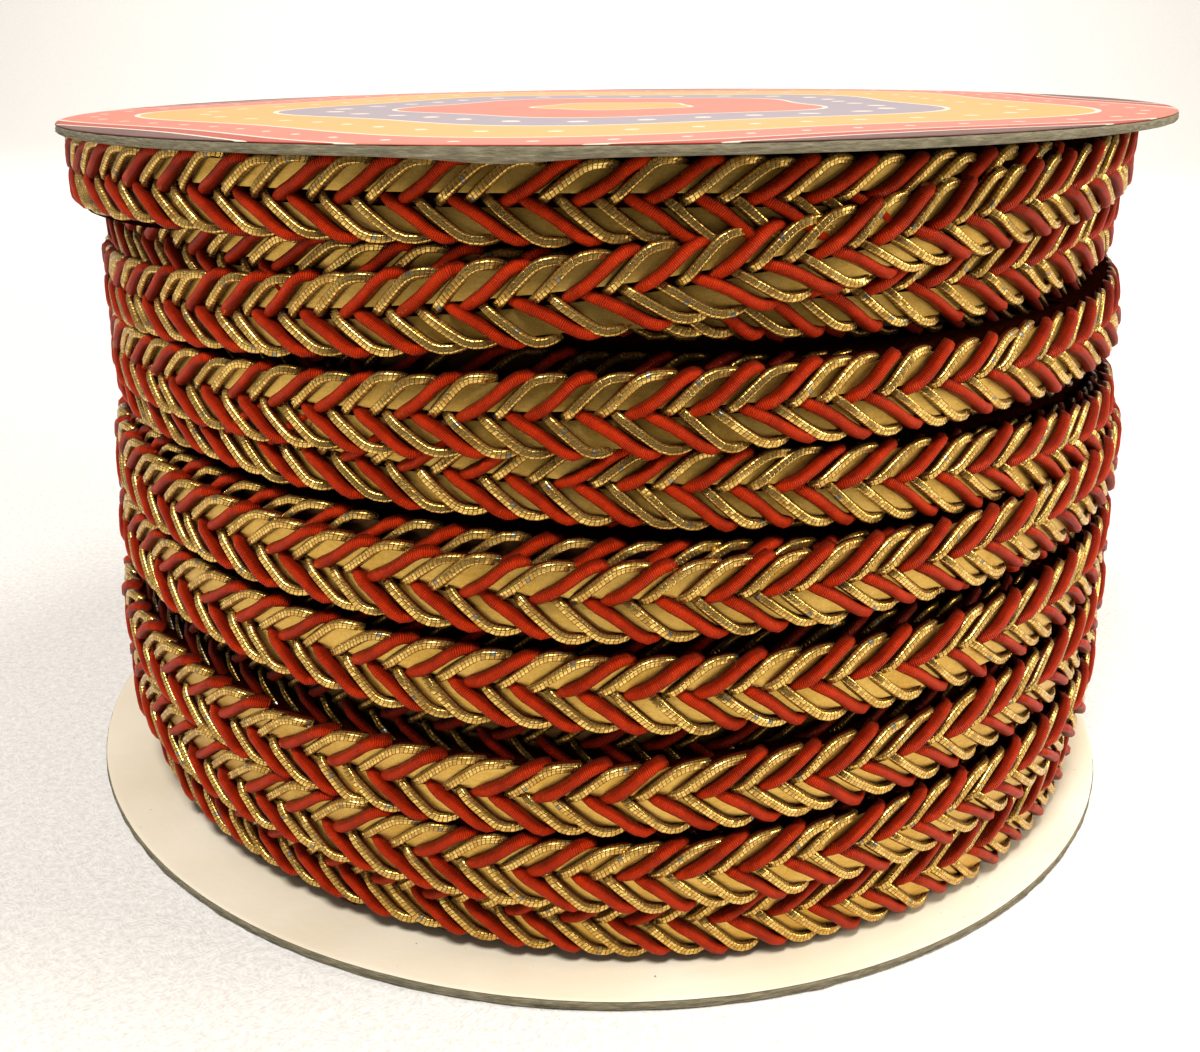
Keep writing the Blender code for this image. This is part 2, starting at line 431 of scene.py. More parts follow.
def under_height(turn):
    """Centre line of the layer below, one even winding whose turns fall to the disc."""
    fall = UNDER_FIRST + UNDER_PITCH * (UNDER_LAPS - 1) - UNDER_PITCH * turn / 360
    return np.maximum(fall, UNDER_LOWEST)


def under_level(height):
    """How far the top of the layer below stands from the outer reach."""
    heights, levels = zip(*UNDER_LEVELS)
    return np.interp(height, heights, levels)


def under_proud(turn):
    return np.where(turn > UNDER_LANDED, UNDER_FIRST_LAP, under_level(under_height(turn)))


def under_turn(height):
    """The turn where the layer below reaches this height."""
    return (UNDER_FIRST + UNDER_PITCH * (UNDER_LAPS - 1) - height) * 360 / UNDER_PITCH


UNDER_START = under_turn(UNDER_HIGHEST)
UNDER_LANDED = under_turn(UNDER_LOWEST)
UNDER_END = UNDER_LANDED + 360


def on_pack(height_of, proud_of, turn, along, across, above):
    """World points of a strip from its turn and the place on it, in millimetres."""
    radius = np.interp(height_of(turn), reach_table[:, 0], reach_table[:, 2])
    step = 0.5
    climb = (height_of(turn + step) - height_of(turn - step)) / (2 * np.radians(step) * radius)
    lean = np.arctan(climb)
    there = turn + np.degrees((along * np.cos(lean) - across * np.sin(lean)) / radius)
    height = height_of(turn) + along * np.sin(lean) + across * np.cos(lean)
    reach = np.interp(height, reach_table[:, 0], reach_table[:, 2])
    shift = np.interp(height, reach_table[:, 0], reach_table[:, 1])
    out = reach + proud_of(there) - FACE_DROP + above
    angle = np.radians(there)
    x = shift + out * np.sin(angle)
    y = -out * np.cos(angle)
    place = np.stack((x, y, height + BOARD / MM), axis=-1) * MM
    normal = np.stack((np.sin(angle), -np.cos(angle), np.zeros_like(angle)), axis=-1)
    return place, normal


def hidden_under(turn, height, level, own_place):
    """Where a point of a layer lies well inside a lap that stands prouder."""
    hidden = np.zeros(np.shape(turn), bool)
    angle = (turn + 180) % 360 - 180
    for lap in range(len(LAPS)):
        place = 360 * lap + angle
        other = (np.abs(place - own_place) > SAME_STRETCH) & (place < STRIP_END)
        near = np.abs(height - strip_height(place)) < LAP_HALF
        hidden |= other & near & (strip_proud(place) > level + HIDDEN_BELOW)
    return hidden


# Meshes


def mesh_object(name, points, groups, finish, uvs=None):
    """An object from arrays: groups of faces, each of one size, and a UV for each corner."""
    corners = np.concatenate([np.ravel(group) for group in groups]).astype(np.int32)
    sizes = np.concatenate([np.full(len(group), len(group[0])) for group in groups])
    starts = np.concatenate(((0,), np.cumsum(sizes)[:-1])).astype(np.int32)
    mesh = bpy.data.meshes.new(name)
    mesh.vertices.add(len(points))
    mesh.vertices.foreach_set("co", np.asarray(points, np.float32).ravel())
    mesh.loops.add(len(corners))
    mesh.loops.foreach_set("vertex_index", corners)
    mesh.polygons.add(len(starts))
    mesh.polygons.foreach_set("loop_start", starts)
    if uvs is not None:
        layer = mesh.uv_layers.new(name="strand")
        layer.uv.foreach_set("vector", np.asarray(uvs, np.float32).ravel())
    mesh.update(calc_edges=True)
    mesh.polygons.foreach_set("use_smooth", np.ones(len(starts), bool))
    mesh.materials.append(finish)
    made = bpy.data.objects.new(name, mesh)
    bpy.context.scene.collection.objects.link(made)
    return made


def ring_quads(rows, cols):
    """Quads that join each closed ring of points to the next one."""
    row = np.arange(rows - 1)[:, None] * cols
    col = np.arange(cols)[None, :]
    after = (col + 1) % cols
    quads = np.stack((row + col, row + after, row + cols + after, row + cols + col), axis=-1)
    return quads.reshape(-1, 4)


def fan_caps(rows, cols):
    """Triangles that close the first and the last ring, each round a point after the rings."""
    col = np.arange(cols)
    after = (col + 1) % cols
    tail = (rows - 1) * cols
    near = np.stack((after, col, np.full(cols, rows * cols)), axis=-1)
    far = np.stack((tail + col, tail + after, np.full(cols, rows * cols + 1)), axis=-1)
    return np.concatenate((near, far))


def band_caps(rows, cols):
    """Quads that close the first and the last ring straight across."""
    near = np.array([(i + 1, i, cols - 1 - i, cols - 2 - i) for i in range(cols // 2 - 1)])
    return np.concatenate((near, near[:, ::-1] + (rows - 1) * cols))


def tube_points(places, normals, radii, section, spin):
    """Points of closed tubes round many paths, each section turned by its spin.

    The places and normals are paths x points x 3, the radii and spin are paths x points.
    """
    tangents = np.gradient(places, axis=1)
    tangents /= np.linalg.norm(tangents, axis=2, keepdims=True)
    side = np.cross(normals, tangents)
    side /= np.linalg.norm(side, axis=2, keepdims=True)
    top = np.cross(tangents, side)
    cos, sin = np.cos(spin)[..., None], np.sin(spin)[..., None]
    right = cos * section[:, 0] - sin * section[:, 1]
    high = sin * section[:, 0] + cos * section[:, 1]
    ring = right[..., None] * side[:, :, None] + high[..., None] * top[:, :, None]
    skin = places[:, :, None] + ring * radii[:, :, None, None]
    first = places[:, :1] - tangents[:, :1] * radii[:, :1, None] * CORD_TIP
    last = places[:, -1:] + tangents[:, -1:] * radii[:, -1:, None] * CORD_TIP
    return np.concatenate((skin.reshape(len(places), -1, 3), first, last), axis=1).reshape(-1, 3)


def cord_uvs(places, sides, offsets):
    """UVs of the cords' face corners: millimetres along, and the share of the way round."""
    paths, points = places.shape[:2]
    steps = np.linalg.norm(np.diff(places, axis=1), axis=2) / MM
    run = np.concatenate((np.zeros((paths, 1)), np.cumsum(steps, axis=1)), axis=1) + offsets[:, None]
    row = np.repeat(np.arange(points - 1), sides)
    col = np.tile(np.arange(sides), points - 1)
    u0, u1 = run[:, row], run[:, row + 1]
    v0 = np.broadcast_to(col / sides, u0.shape)
    v1 = np.broadcast_to((col + 1) / sides, u0.shape)
    quads = np.stack((u0, v0, u0, v1, u1, v1, u1, v0), axis=-1)
    ends = np.repeat(run[:, (0, -1)], 3 * sides, axis=1)
    caps = np.stack((ends, np.zeros_like(ends)), axis=-1)
    return np.concatenate((quads.ravel(), caps.ravel()))


def add_cords(name, places, normals, radii, section, spin, finish, offsets):
    """One object of many closed cords."""
    paths, points = places.shape[:2]
    sides = len(section)
    first = (np.arange(paths) * (points * sides + 2))[:, None, None]
    quads = (first + ring_quads(points, sides)).reshape(-1, 4)
    caps = (first + fan_caps(points, sides)).reshape(-1, 3)
    vertices = tube_points(places, normals, radii, section, spin)
    return mesh_object(name, vertices, (quads, caps), finish, cord_uvs(places, sides, offsets))


def path_points(path, count):
    """The path's points, read from a smooth curve at even steps of its length."""
    table = np.array(path)
    knots = np.concatenate(((0.0,), np.cumsum(np.linalg.norm(np.diff(table, axis=0), axis=1))))
    at = np.linspace(0, knots[-1], count)
    return np.stack([smooth_curve(knots, table[:, i])(at) for i in range(3)], axis=1)


def strands(turn_table, number_table, first, last, covered):
    """For each colour: the turns where its strands leave the groove, and their half."""
    found = {"R": [], "G": []}
    for i in range(number_table[0], number_table[-1]):
        for half, lead, shift in ((1, 0.0, 0), (-1, LOWER_LEAD, LOWER_SHIFT)):
            colour = UPPER_HALF[(i + shift) % len(UPPER_HALF)]
            turn = float(np.interp(i + lead, number_table, turn_table))
            if first <= turn <= last:
                found[colour].append((turn, half))
    result = {}
    for colour, rows in found.items():
        rows = np.array(rows)
        result[colour] = rows[~covered(rows)]
    return result


def round_section(sides):
    angle = 2 * np.pi * (np.arange(sides) + 0.5) / sides
    return np.stack((np.cos(angle), np.sin(angle)), axis=1)


def spins(shape, most):
    """How far each cord's section is turned along it, in radians."""
    start = rng.uniform(-most, most, (shape[0], 1))
    finish = rng.uniform(-most, most, (shape[0], 1))
    return start + (finish - start) * np.linspace(0, 1, shape[1])


def cord_arrays(rows, path, radius, count, height_of, proud_of):
    """Places, normals and radii of the cords that leave the groove at these rows."""
    shape = path_points(path, count)
    each = (len(rows), 1)
    along = shape[None, :, 0] * (1 + UNEVEN_LENGTH * rng.normal(size=each))
    along = along + UNEVEN_PLACE * rng.normal(size=each)
    across = shape[None, :, 1] * (1 + UNEVEN_WIDTH * rng.normal(size=each))
    above = shape[None, :, 2] + UNEVEN_LEVEL * rng.normal(size=each)
    turn = np.broadcast_to(rows[:, :1], along.shape)
    half = rows[:, 1:]
    places, normals = on_pack(height_of, proud_of, turn, along, half * across, above)
    radii = np.full(along.shape, radius * MM) * (1 + UNEVEN_RADIUS * rng.normal(size=each))
    return places, normals, radii


def outer_covered(rows):
    """Outer strands whose visible stretch lies under a prouder lap."""
    turn = rows[:, 0]
    hidden = np.ones(len(rows), bool)
    for out in OUTER_TESTS:
        height = strip_height(turn) + rows[:, 1] * out
        hidden &= hidden_under(turn, height, strip_proud(turn), turn)
    return hidden


def under_covered(rows):
    """Strands of the layer below that an outer lap hides along their whole length."""
    turn = rows[:, 0]
    hidden = np.ones(len(rows), bool)
    for out in UNDER_TESTS:
        height = under_height(turn) + rows[:, 1] * out
        hidden &= hidden_under(turn, height, under_proud(turn), NOWHERE)
    return hidden


# Materials


# Sockets of a Mix node that mixes colours
MIX_FACTOR = 0
MIX_FIRST = 6
MIX_SECOND = 7
MIX_RESULT = 2


class Nodes:
    """Short calls for building a material's node tree."""

    def __init__(self, name):
        self.material = bpy.data.materials.new(name)
        self.material.use_nodes = True
        self.tree = self.material.node_tree
        self.shader = self.tree.nodes["Principled BSDF"]

    def add(self, kind, **settings):
        node = self.tree.nodes.new("ShaderNode" + kind)
        for key, value in settings.items():
            setattr(node, key, value)
        return node

    def link(self, source, target):
        """Joins a node's output to a socket, or sets the socket to a number or colour."""
        if isinstance(source, (int, float, tuple)):
            target.default_value = source
        else:
            self.tree.links.new(source, target)

    def math(self, operation, a, b=None, c=None):
        node = self.add("Math", operation=operation)
        for value, socket in zip((a, b, c), node.inputs):
            if value is not None:
                self.link(value, socket)
        return node.outputs[0]

    def smooth(self, value, low, high):
        """0 at low and 1 at high, with an eased slope between them."""
        node = self.add("MapRange", interpolation_type="SMOOTHSTEP")
        self.link(value, node.inputs["Value"])
        node.inputs["From Min"].default_value = min(low, high)
        node.inputs["From Max"].default_value = max(low, high)
        node.inputs["To Min"].default_value = float(low > high)
        node.inputs["To Max"].default_value = float(low < high)
        return node.outputs[0]

    def mix(self, factor, a, b):
        node = self.add("Mix", data_type="RGBA")
        self.link(factor, node.inputs[MIX_FACTOR])
        self.link(a, node.inputs[MIX_FIRST])
        self.link(b, node.inputs[MIX_SECOND])
        return node.outputs[MIX_RESULT]

    def ramp(self, factor, stops, interpolation="LINEAR"):
        node = self.add("ValToRGB")
        ramp = node.color_ramp
        ramp.interpolation = interpolation
        while len(ramp.elements) < len(stops):
            ramp.elements.new(0.5)
        for element, (place, colour) in zip(ramp.elements, stops):
            element.position = place
            element.color = rgb(*colour)
        self.link(factor, node.inputs[0])
        return node.outputs[0]

    def noise(self, scale, detail=3.0, vector=None, roughness=0.5):
        """Noise in the object's own metres, or in those of another vector."""
        node = self.add("TexNoise")
        node.inputs["Scale"].default_value = scale
        node.inputs["Detail"].default_value = detail
        node.inputs["Roughness"].default_value = roughness
        self.link(self.place() if vector is None else vector, node.inputs["Vector"])
        return node.outputs[0]

    def total(self, *parts):
        """The sum of sources, each times its share."""
        whole = None
        for source, share in parts:
            part = self.math("MULTIPLY", source, share)
            whole = part if whole is None else self.math("ADD", whole, part)
        return whole

    def vector(self, x, y):
        node = self.add("CombineXYZ")
        self.link(x, node.inputs[0])
        self.link(y, node.inputs[1])
        return node.outputs[0]

    def split(self, vector):
        node = self.add("SeparateXYZ")
        self.link(vector, node.inputs[0])
        return node.outputs[0], node.outputs[1]

    def strand_uv(self):
        return self.split(self.add("UVMap", uv_map="strand").outputs[0])

    def rise(self, around, foot):
        """0 at the middle of a cord's foot and 1 along its top."""
        angle = self.math("MULTIPLY", self.math("SUBTRACT", around, foot), 2 * math.pi)
        return self.math("MULTIPLY_ADD", self.math("COSINE", angle), -0.5, 0.5)

    def place(self):
        return self.add("TexCoord").outputs["Object"]

    def colour(self, source):
        self.link(source, self.shader.inputs["Base Color"])

    def bump(self, height, distance, strength=1.0):
        node = self.add("Bump")
        node.inputs["Distance"].default_value = distance
        node.inputs["Strength"].default_value = strength
        self.link(height, node.inputs["Height"])
        self.link(node.outputs[0], self.shader.inputs["Normal"])

    def set(self, **values):
        for key, value in values.items():
            self.shader.inputs[key.replace("_", " ")].default_value = value


def rgb(red, green, blue):
    """A linear colour from a colour as seen, 0 to 255."""
    seen = np.array((red, green, blue)) / 255.0
    linear = np.where(seen <= 0.04045, seen / 12.92, ((seen + 0.055) / 1.055) ** 2.4)
    return (*[float(v) for v in linear], 1.0)


def silk_material(name, light, dark):
    """Red silk wound closely round a cord: fine turns across it and a soft sheen, painted shade down its
    sides and a dark foot of thread and painted shadow.
    """
    n = Nodes(name)
    along, around = n.strand_uv()
    drift = n.noise(SILK_DRIFT_SCALE, 2.0)
    patches = n.noise(SILK_PATCH_SCALE, 2.0)
    fibres = n.noise(FIBRE_SCALE, 2.0)
    turns = n.math("ADD", n.math("DIVIDE", along, SILK_PITCH), around)
    turns = n.math("ADD", turns, n.math("MULTIPLY", drift, 1.6))
    ribs = n.math("MULTIPLY_ADD", n.math("SINE", n.math("MULTIPLY", turns, 2 * math.pi)), 0.5, 0.5)
    rise = n.rise(around, RED_FOOT)
    # painted shade: the silk darkens from the cord's top down to its sides
    lit = n.math("MULTIPLY_ADD", n.smooth(rise, 0.6, 0.98), 0.42, 0.58)
    tone = n.math("MULTIPLY", n.total((patches, 0.5), (ribs, 0.3), (fibres, 0.25)), lit)
    silk = n.ramp(tone, ((0.26, dark), (0.66, light)))
    # the foot turns dark: thread and painted shadow
    n.colour(n.mix(n.smooth(rise, 0.35, 0.5), rgb(*SILK_FOOT_THREAD_AND_SHADOW), silk))
    n.bump(n.total((ribs, 1.0), (fibres, 0.7)), SILK_RELIEF)
    n.set(Roughness=0.4, Sheen_Weight=0.04, Sheen_Roughness=0.5, Sheen_Tint=rgb(*SILK_SHEEN))
    n.set(Specular_IOR_Level=0.26, Specular_Tint=rgb(*SILK_SHINE))
    return n.material


def foil_cord_material(name, light, deep, gap):
    """Gold foil strip wound round a cord: bright ribs with dark gaps between them, and a dark foot of core
    thread and painted shadow.
    """
    n = Nodes(name)
    along, around = n.strand_uv()
    wraps = n.math("ADD", n.math("DIVIDE", along, FOIL_PITCH), around)
    aside = n.math("SUBTRACT", n.math("FRACT", wraps), 0.5)
    middle = n.math("ABSOLUTE", aside)
    rib = n.smooth(middle, 0.47, 0.39)
    facet = n.add("TexWhiteNoise", noise_dimensions="2D")
    row = n.math("GREATER_THAN", around, SEAM_PLACE)
    n.link(n.vector(n.math("FLOOR", wraps), row), facet.inputs["Vector"])
    chance = facet.outputs["Value"]
    seam = n.smooth(n.math("ABSOLUTE", n.math("SUBTRACT", around, SEAM_PLACE)), 0.004, 0.02)
    foil = n.math("MULTIPLY", rib, n.math("MULTIPLY_ADD", seam, 0.75, 0.25))
    # the foil turns to the gap's colour along the cord's foot: dark core and painted shadow
    foil = n.math("MULTIPLY", foil, n.smooth(n.rise(around, GOLD_FOOT), 0.22, 0.36))
    tone = n.mix(n.math("MULTIPLY", chance, 0.75), rgb(*light), rgb(*deep))
    tone = n.mix(n.math("GREATER_THAN", chance, WORN_ABOVE), tone, rgb(*WORN_FOIL))
    n.colour(n.mix(foil, rgb(*gap), tone))
    n.link(n.math("MULTIPLY", foil, 0.92), n.shader.inputs["Metallic"])
    n.link(n.math("MULTIPLY_ADD", chance, 0.14, 0.22), n.shader.inputs["Roughness"])
    lean = n.math("MULTIPLY", aside, n.math("MULTIPLY_ADD", chance, 0.7, -0.35))
    crown = n.math("MULTIPLY", middle, middle)
    n.bump(n.total((crown, -0.35), (lean, 1.0), (rib, 0.5)), FOIL_RELIEF)
    return n.material


def tape_material(name, light, deep):
    """Flat foil tape: satin, with a fine grain and a few faint lines along it."""
    n = Nodes(name)
    along, across = n.strand_uv()
    drawn_out = n.vector(n.math("MULTIPLY", along, 1.2), n.math("MULTIPLY", across, 26.0))
    lines = n.noise(1.0, 3.0, drawn_out, 0.6)
    grain = n.noise(FIBRE_SCALE, 2.0)
    patches = n.noise(TAPE_PATCH_SCALE, 2.0)
    tone = n.total((lines, 0.25), (patches, 0.35), (grain, 0.4))
    n.colour(n.ramp(tone, ((0.38, deep), (0.62, light))))
    n.bump(n.total((lines, 0.35), (grain, 1.0)), TAPE_RELIEF)
    n.set(Metallic=0.85, Roughness=0.34)
    return n.material


def dark_material(name, light, dark):
    """Shaded thread behind the strands."""
    n = Nodes(name)
    fuzz = n.noise(FUZZ_SCALE)
    n.colour(n.ramp(fuzz, ((0.3, dark), (0.8, light))))
    n.bump(fuzz, FUZZ_RELIEF)
    n.set(Roughness=1.0, Specular_IOR_Level=0.0)
    return n.material


def floor_material(light, dark):
    """Pale table cloth: a fine plain weave with thicker threads here and there."""
    n = Nodes("pale_cloth")
    threads = []
    for scale, place in zip(CLOTH_DRIFT_SCALES, n.split(n.place())):
        drift = n.noise(scale)
        turns = n.math("MULTIPLY_ADD", drift, 6.0, n.math("DIVIDE", place, CLOTH_PITCH))
        threads.append(n.math("SINE", n.math("MULTIPLY", turns, 2 * math.pi)))
    weave = n.math("MULTIPLY_ADD", n.math("MULTIPLY", *threads), 0.5, 0.5)
    patches = n.noise(CLOTH_PATCH_SCALE, 4.0)
    tone = n.total((weave, 0.22), (patches, 0.78))
    n.colour(n.ramp(tone, ((0.2, dark), (0.7, light))))
    n.bump(tone, CLOTH_RELIEF, 0.8)
    n.set(Roughness=0.95, Specular_IOR_Level=0.2)
    return n.material


def card_edge_material(light, middle, dark):
    """Grey chipboard: layered fibres along the cut edge."""
    n = Nodes("grey_card")
    squash = n.add("Mapping")
    n.link(n.place(), squash.inputs["Vector"])
    squash.inputs["Scale"].default_value = (1.0, 1.0, CARD_SQUASH)
    layers = n.noise(CARD_SCALE, 5.0, squash.outputs[0], 0.65)
    n.colour(n.ramp(layers, ((0.25, dark), (0.55, middle), (0.8, light))))
    n.bump(layers, CARD_RELIEF)
    n.set(Roughness=0.9)
    return n.material


def paper_material(light, dark):
    """Cream paper with small dark specks."""
    n = Nodes("cream_paper")
    paper = n.ramp(n.noise(PAPER_SCALE), ((0.3, dark), (0.7, light)))
    speck = n.math("GREATER_THAN", n.noise(SPECK_SCALE, 1.0), SPECK_ABOVE)
    n.colour(n.mix(speck, paper, rgb(*PAPER_SPECK)))
    n.bump(n.noise(PAPER_GRAIN_SCALE), PAPER_RELIEF)
    n.set(Roughness=0.6)
    return n.material


def print_rings(n, wave):
    """The rings' colours, each with a thin cream line inside it."""
    stops = []
    for place, colour in PRINT_RINGS:
        if place:
            stops.append((place - PRINT_LINE, PRINT_CREAM))
        stops.append((place, colour))
    return n.ramp(wave, stops, "CONSTANT")


def print_dots(n, wave, angle, ring, number, size):
    """1 on each dot of one row."""
    turn = n.math("FRACT", n.math("MULTIPLY_ADD", angle, number / (2 * math.pi), 0.5))
    aside = n.math("MULTIPLY", n.math("SUBTRACT", turn, 0.5), 2 * math.pi * ring / number)
    out = n.math("SUBTRACT", wave, ring)
    away = n.math("ADD", n.math("MULTIPLY", aside, aside), n.math("MULTIPLY", out, out))
    return n.smooth(n.math("SQRT", away), size, 0.8 * size)


def print_material():
    """A printed face: broad lobed rings in warm colours, with rows of cream dots."""
    n = Nodes("printed_face")
    x, y = n.split(n.place())
    radius = n.math("SQRT", n.math("ADD", n.math("MULTIPLY", x, x), n.math("MULTIPLY", y, y)))
    angle = n.math("ARCTAN2", y, x)
    lobes = n.math("SINE", n.math("MULTIPLY_ADD", angle, PRINT_LOBES, PRINT_LOBE_TURN))
    lobed = n.math("MULTIPLY_ADD", lobes, PRINT_LOBE_DEPTH, 1.0 - PRINT_LOBE_DEPTH)
    wave = n.math("MULTIPLY", lobed, n.math("DIVIDE", radius, DISC_RADIUS))
    bands = print_rings(n, wave)
    for row in PRINT_DOTS:
        bands = n.mix(print_dots(n, wave, angle, *row), bands, rgb(*PRINT_CREAM))
    wash = n.math("MULTIPLY", n.noise(PRINT_WASH_SCALE), 0.2)
    n.colour(n.mix(wash, bands, rgb(*PRINT_WASH)))
    n.bump(n.noise(PRINT_GRAIN_SCALE), PRINT_RELIEF, 0.5)
    n.set(Roughness=0.45, Specular_IOR_Level=0.16)
    return n.material


# Pieces


def add_strip_cords(red, gold):
    """The outer winding's red and gold cords, in a lower and an upper piece of each."""
    found = strands(*strand_counter(), STRIP_START, STRIP_END - LAST_STRAND, outer_covered)
    pieces = []
    for colour, name, path, radius, section, spin, finish, slot in (
        ("R", "red_cords_", RED_PATH, RED_RADIUS, RED_SECTION, 0.0, red, "red_silk"),
        ("G", "gold_cords_", GOLD_PATH, GOLD_RADIUS, GOLD_SECTION, GOLD_SPIN, gold, "gold_foil"),
    ):
        rows = found[colour]
        lower = rows[:, 0] < PIECE_SPLIT
        for part, chosen in (("lower", rows[lower]), ("upper", rows[~lower])):
            arrays = cord_arrays(chosen, path, radius, CORD_POINTS, strip_height, strip_proud)
            turned = spins(arrays[2].shape, spin)
            offsets = rng.uniform(0, CORD_RUN, len(chosen))
            made = add_cords(name + part, *arrays, np.array(section), turned, finish, offsets)
            pieces.append((made, slot))
    return pieces


def add_under_cords(red, gold, painted_shade_red, painted_shade_gold):
    """The layer below: cords with painted shade, and plain ones where it comes near the surface."""
    number = int((UNDER_END - UNDER_START) / STRAND_TURN)
    turns = (UNDER_START, UNDER_START + number * STRAND_TURN)
    found = strands(turns, (0, number), UNDER_START, UNDER_END, under_covered)
    pieces = []
    for colour, name, path, radius, section, raised, deep, slot in (
        ("R", "red_", RED_PATH, RED_RADIUS, RED_SECTION, red, painted_shade_red, "red_silk"),
        ("G", "gold_", GOLD_PATH, GOLD_RADIUS, GOLD_SECTION, gold, painted_shade_gold, "gold_foil"),
    ):
        rows = found[colour]
        shaded = under_proud(rows[:, 0]) < UNDER_SHADED
        for part, chosen, outline, finish in (
            ("raised_cords", rows[~shaded], np.array(section), raised),
            ("under_cords", rows[shaded], round_section(UNDER_SIDES), deep),
        ):
            arrays = cord_arrays(chosen, path, radius, UNDER_POINTS, under_height, under_proud)
            turned = spins(arrays[2].shape, 0.0)
            offsets = rng.uniform(0, CORD_RUN, len(chosen))
            made = add_cords(name + part, *arrays, outline, turned, finish, offsets)
            pieces.append((made, slot))
    return pieces


def add_tape(name, half, height_of, proud_of, first, last, step, finish):
    """One foil tape of the strip, a closed band along the whole winding."""
    section = np.array(TAPE_SECTION)
    cols = len(section)
    turn = np.repeat(np.arange(first, last, step)[:, None], cols, axis=1)
    spread = np.interp(height_of(turn), (SLIT_NARROW, SLIT_WIDE), (0.0, 1.0))
    across = half * (section[None, :, 0] + section[None, :, 2] * spread)
    above = np.broadcast_to(section[None, :, 1], turn.shape)
    places, _ = on_pack(height_of, proud_of, turn, np.zeros_like(turn), across, above)
    quads = np.concatenate((ring_quads(len(turn), cols), band_caps(len(turn), cols)))
    if half > 0:
        quads = quads[:, ::-1]
    around = np.broadcast_to(np.linspace(0, 1, cols), turn.shape)
    uv = np.stack((np.radians(turn) * PACK_RADIUS, around), -1).reshape(-1, 2)
    made = mesh_object(name, places.reshape(-1, 3), (quads,), finish, uv[quads.ravel()])
    made.data.set_sharp_from_angle(angle=math.radians(TAPE_EDGE))
    return made


def add_tapes(tape, painted_shade_tape):
    pieces = []
    for half, side in ((1, "upper"), (-1, "lower")):
        pieces.append(add_tape("tape_" + side, half, strip_height, strip_proud,
                               STRIP_START, STRIP_END, TAPE_STEP, tape))
        pieces.append(add_tape("under_tape_" + side, half, under_height, under_proud,
                               UNDER_START, UNDER_END, UNDER_TAPE_STEP, painted_shade_tape))
    return [(piece, "gold_tape") for piece in pieces]


def body_level(turn, heights):
    """How far the dark body stands from the outer reach, up one line of its side."""
    laps = [(360 * lap + turn, strip_height, strip_proud) for lap in range(len(LAPS))]
    laps = [row for row in laps if row[0] <= STRIP_END]
    laps += [(360 * lap + turn, under_height, under_proud) for lap in range(-1, UNDER_LAPS + 1)]
    level = np.full(len(heights), under_level(0.0) - BODY_DEEPEST)
    for place, height_of, proud_of in laps:
        near = np.abs(heights - height_of(place)) < LAP_HALF
        behind = proud_of(place) - FACE_DROP - BODY_BEHIND
        level = np.where(near, np.maximum(level, behind), level)
    return np.where(heights < FOOT_HEIGHT, FOOT_LEVEL, level)


def add_inner_form(finish):
    """Dark body behind the strands, drawn in from the laps, near-black as painted shade."""
    board = BOARD / MM
    underside = UPPER_HEIGHT / MM
    heights = np.linspace(BODY_FOOT, underside - board - BODY_TOP, BODY_ROWS)
    share = (heights - BODY_FOOT) / (heights[-1] - BODY_FOOT)
    columns = []
    for side in range(BODY_SIDES):
        turn = 360 * side / BODY_SIDES - 180
        angle = math.radians(turn)
        radius = np.interp(heights, reach_table[:, 0], reach_table[:, 2]) + body_level(turn, heights)
        x = np.interp(heights, reach_table[:, 0], reach_table[:, 1]) + radius * math.sin(angle)
        y = -radius * math.cos(angle)
        limit = underside + UPPER_TILT_SIDE * x - BODY_TOP
        leaning = BODY_FOOT + board + share * (limit - BODY_FOOT - board)
        z = np.where(heights > BODY_LEAN, leaning, heights + board)
        columns.append(np.stack((x, y, z), -1))
    points = np.stack(columns, axis=1).reshape(-1, 3) * MM
    quads = (ring_quads(BODY_ROWS, BODY_SIDES), band_caps(BODY_ROWS, BODY_SIDES))
    return mesh_object("inner_winding", points, quads, finish)


def ripple(angle, lowest, highest):
    """A seeded uneven line round a full turn, about -1 to 1."""
    waves = np.arange(lowest, highest)
    phases = rng.uniform(0, 2 * np.pi, len(waves))
    return np.cos(np.multiply.outer(angle, waves) + phases).sum(axis=-1) / math.sqrt(2 * len(waves))


def dent(angle, rim, height):
    """Share of the dent near the front, where the lower edge of a board has split."""
    turn = (np.degrees(angle) + 90 + 180) % 360 - 180
    push = np.exp(-((turn - DENT_TURN) / DENT_WIDTH) ** 2)
    low = max(0.0, 1.0 - height / DENT_HEIGHT)
    near = np.clip((rim - DISC_RADIUS / MM + DENT_INSET) / DENT_REACH, 0.0, 1.0)
    return push * low * near


def add_round(name, profile, finish, placing, dent_depth):
    """A closed disc turned from its profile, with an uneven rim."""
    angle = 2 * np.pi * np.arange(DISC_SIDES) / DISC_SIDES
    rows = []
    for inset, height, fray, wave in profile:
        rim = DISC_RADIUS / MM - inset + fray * ripple(angle, *FRAY_WAVES)
        level = height + wave * ripple(angle, *LEVEL_WAVES) - dent_depth * dent(angle, rim, height)
        rows.append(np.stack((rim * np.cos(angle), rim * np.sin(angle), level), -1))
    centres = np.array(((0, 0, profile[0][1]), (0, 0, profile[-1][1])))
    faces = (ring_quads(len(rows), DISC_SIDES), fan_caps(len(rows), DISC_SIDES))
    made = mesh_object(name, np.concatenate((*rows, centres)) * MM, faces, finish)
    made.matrix_world = placing
    return made


def upper_place():
    """Where the upper disc stands, leaning a little to one side."""
    turn = Euler((UPPER_TILT_BACK, -UPPER_TILT_SIDE, 0.0)).to_matrix().to_4x4()
    return Matrix.Translation((*UPPER_SHIFT, UPPER_HEIGHT)) @ turn


